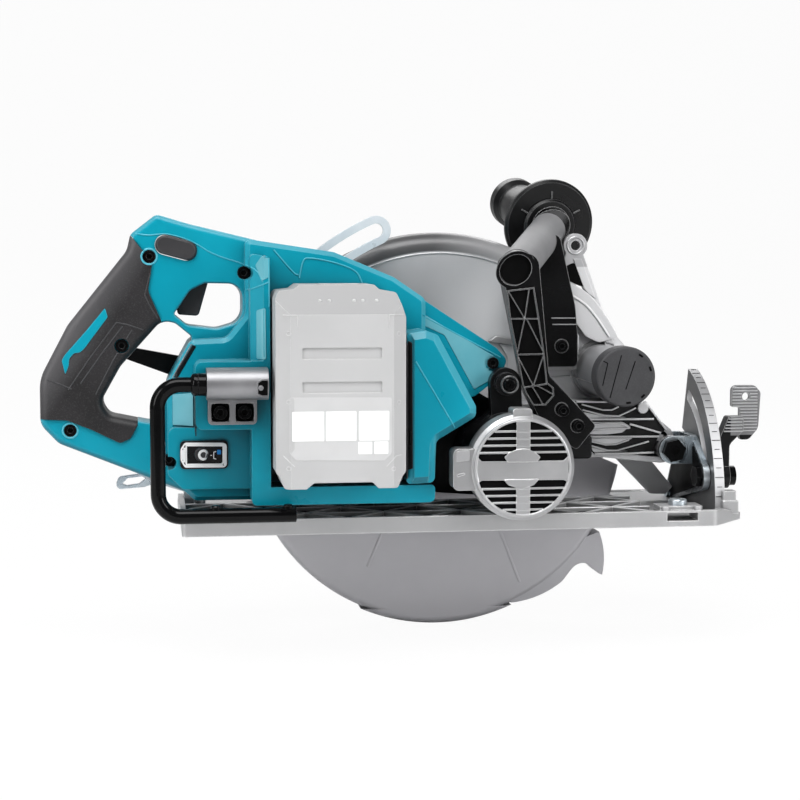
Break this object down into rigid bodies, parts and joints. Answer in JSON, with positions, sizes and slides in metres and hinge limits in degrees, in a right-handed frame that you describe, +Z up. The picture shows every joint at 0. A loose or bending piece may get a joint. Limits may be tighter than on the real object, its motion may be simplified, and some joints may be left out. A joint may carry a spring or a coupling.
{
  "type": "cordless circular saw",
  "caption": "Rear-handle battery circular saw with upper and swinging lower blade guards, tilting ribbed base, depth guide, side front grip, hanging hook and side battery.",
  "frame": {"origin": "middle of the sole, the underside of the base", "axes": "+X forward along the cut, +Y to the blade side, +Z up"},
  "size_m": [0.5064, 0.2579, 0.3325],
  "materials": {
    "teal_plastic": "satin moulded body shell",
    "grip_rubber": "soft dark grip",
    "black_plastic": "fine textured",
    "pale_plastic": "pale battery case",
    "cast_alloy": "bead blasted casting",
    "base_alloy": "satin cast base",
    "guard_alloy": "satin sheet",
    "zinc_steel": "zinc plated",
    "dark_steel": "black oxide",
    "bright_steel": "ground steel",
    "copper_coil": "wound stator",
    "grey_plastic": "dark grey control"
  },
  "bodies": {
    "base": {"base_plate": "base_alloy", "bevel_quadrant": "cast_alloy"},
    "tilt_frame": {"front_bracket": "zinc_steel", "pivot_bolt": "zinc_steel", "bevel_pin_front": "zinc_steel", "bevel_pin_rear": "zinc_steel", "bevel_clamp_bolt": "zinc_steel", "rear_bracket": "zinc_steel", "guide_pin": "zinc_steel"},
    "saw": {"housing_right": "teal_plastic", "housing_left": "teal_plastic", "grip_cover": "grip_rubber", "housing_screws": "dark_steel", "trigger_pin": "bright_steel", "trigger_switch": "black_plastic", "control_panel": "black_plastic", "battery_mount": "black_plastic", "terminal_block": "black_plastic", "controller": "black_plastic", "hook_clamp": "zinc_steel", "hook_clamp_screws": "dark_steel", "motor_housing": "black_plastic", "motor_end_cover": "cast_alloy", "stator": "copper_coil", "motor_bearing_front": "bright_steel", "motor_bearing_rear": "bright_steel", "gear_housing": "cast_alloy", "gear_cover": "cast_alloy", "spindle_bearing_front": "bright_steel", "spindle_bearing_rear": "bright_steel", "upper_guard": "cast_alloy", "front_handle": "black_plastic", "front_grip": "grip_rubber", "arm_screw_pair": "dark_steel", "leg_screw": "dark_steel", "depth_bolt": "zinc_steel"},
    "spindle": {"spindle": "bright_steel", "spindle_gear": "bright_steel", "blade": "bright_steel", "inner_flange": "bright_steel", "outer_flange": "bright_steel", "blade_bolt": "bright_steel"},
    "rotor": {"rotor": "bright_steel", "motor_fan": "black_plastic", "pinion": "bright_steel"},
    "lower_guard": {"lower_guard": "guard_alloy", "guard_lever": "black_plastic"},
    "trigger": {"trigger": "grey_plastic"},
    "lock_off": {"lock_off_button": "grey_plastic"},
    "panel_button": {"panel_button": "grey_plastic"},
    "battery": {"battery_case": "pale_plastic"},
    "battery_release": {"battery_release_button": "pale_plastic"},
    "hook": {"hook_rod": "dark_steel"},
    "shaft_lock": {"shaft_lock": "black_plastic"},
    "dust_cap": {"dust_cap": "grip_rubber"},
    "depth_lever": {"depth_lever": "black_plastic"},
    "depth_guide": {"depth_guide": "zinc_steel"},
    "bevel_lever": {"bevel_lever": "zinc_steel"},
    "fence_screw": {"fence_clamp_screw": "zinc_steel"}
  },
  "joints": [
    {"name": "bevel_tilt", "type": "hinge", "parent": "base", "child": "tilt_frame", "pos_m": [0, 0.043, 0.01], "axis": [-1, 0, 0], "range_deg": [0, 50]},
    {"name": "depth_swing", "type": "hinge", "parent": "tilt_frame", "child": "saw", "pos_m": [0.157, 0, 0.046], "axis": [0, 1, 0], "range_deg": [0, 22]},
    {"name": "depth_guide_swing", "type": "hinge", "parent": "tilt_frame", "child": "depth_guide", "pos_m": [-0.17, 0.011, 0.028], "axis": [0, -1, 0], "range_deg": [0, 12]},
    {"name": "depth_lever_turn", "type": "hinge", "parent": "saw", "child": "depth_lever", "pos_m": [-0.145, 0.005, 0.112], "axis": [0, 1, 0], "range_deg": [0, 45]},
    {"name": "bevel_lever_turn", "type": "hinge", "parent": "tilt_frame", "child": "bevel_lever", "pos_m": [0.188, -0.03365, 0.02911], "axis": [1, 0, 0], "range_deg": [0, 60]},
    {"name": "spindle_spin", "type": "hinge", "parent": "saw", "child": "spindle", "pos_m": [-0.008, 0.04, 0.0565], "axis": [0, 1, 0], "continuous": true},
    {"name": "rotor_spin", "type": "hinge", "parent": "saw", "child": "rotor", "pos_m": [0.0293, -0.04, 0.0451], "axis": [0, 1, 0], "continuous": true},
    {"name": "lower_guard_swing", "type": "hinge", "parent": "saw", "child": "lower_guard", "pos_m": [-0.008, 0.04, 0.0565], "axis": [0, 1, 0], "range_deg": [0, 100], "stiffness_Nm_per_rad": 0.5, "springref_deg": -45.84},
    {"name": "trigger_pull", "type": "hinge", "parent": "saw", "child": "trigger", "pos_m": [-0.189, -0.028, 0.172], "axis": [0, 1, 0], "range_deg": [0, 9], "stiffness_Nm_per_rad": 1.2, "springref_deg": -14.32},
    {"name": "lock_off_slide", "type": "slide", "parent": "saw", "child": "lock_off", "axis": [0, 1, 0], "range_m": [0, 0.0035], "stiffness_N_per_m": 300, "springref_m": -0.004},
    {"name": "panel_button_press", "type": "slide", "parent": "saw", "child": "panel_button", "axis": [0, 1, 0], "range_m": [0, 0.0008], "stiffness_N_per_m": 400, "springref_m": -0.001},
    {"name": "battery_slide", "type": "slide", "parent": "saw", "child": "battery", "axis": [0, 0, 1], "range_m": [0, 0.115]},
    {"name": "battery_release_press", "type": "slide", "parent": "battery", "child": "battery_release", "axis": [0, 0, -1], "range_m": [0, 0.003], "stiffness_N_per_m": 500, "springref_m": -0.003},
    {"name": "hook_swing", "type": "hinge", "parent": "saw", "child": "hook", "pos_m": [-0.163, -0.097, 0.103], "axis": [-1, 0, 0], "range_deg": [0, 90]},
    {"name": "shaft_lock_press", "type": "slide", "parent": "saw", "child": "shaft_lock", "axis": [0, 1, 0], "range_m": [0, 0.0045], "stiffness_N_per_m": 600, "springref_m": -0.003},
    {"name": "dust_cap_pull", "type": "slide", "parent": "saw", "child": "dust_cap", "axis": [0, -1, 0], "range_m": [0, 0.02]},
    {"name": "fence_screw_turn", "type": "hinge", "parent": "base", "child": "fence_screw", "pos_m": [0.146, -0.0665, 0.015], "axis": [0, 0, 1], "range_deg": [0, 360]}
  ],
  "couplings": [
    {"joint": "rotor_spin", "follows": "spindle_spin", "ratio": -4.7778},
    {"joint": "depth_guide_swing", "follows": "depth_swing", "ratio": 0.53}
  ]
}
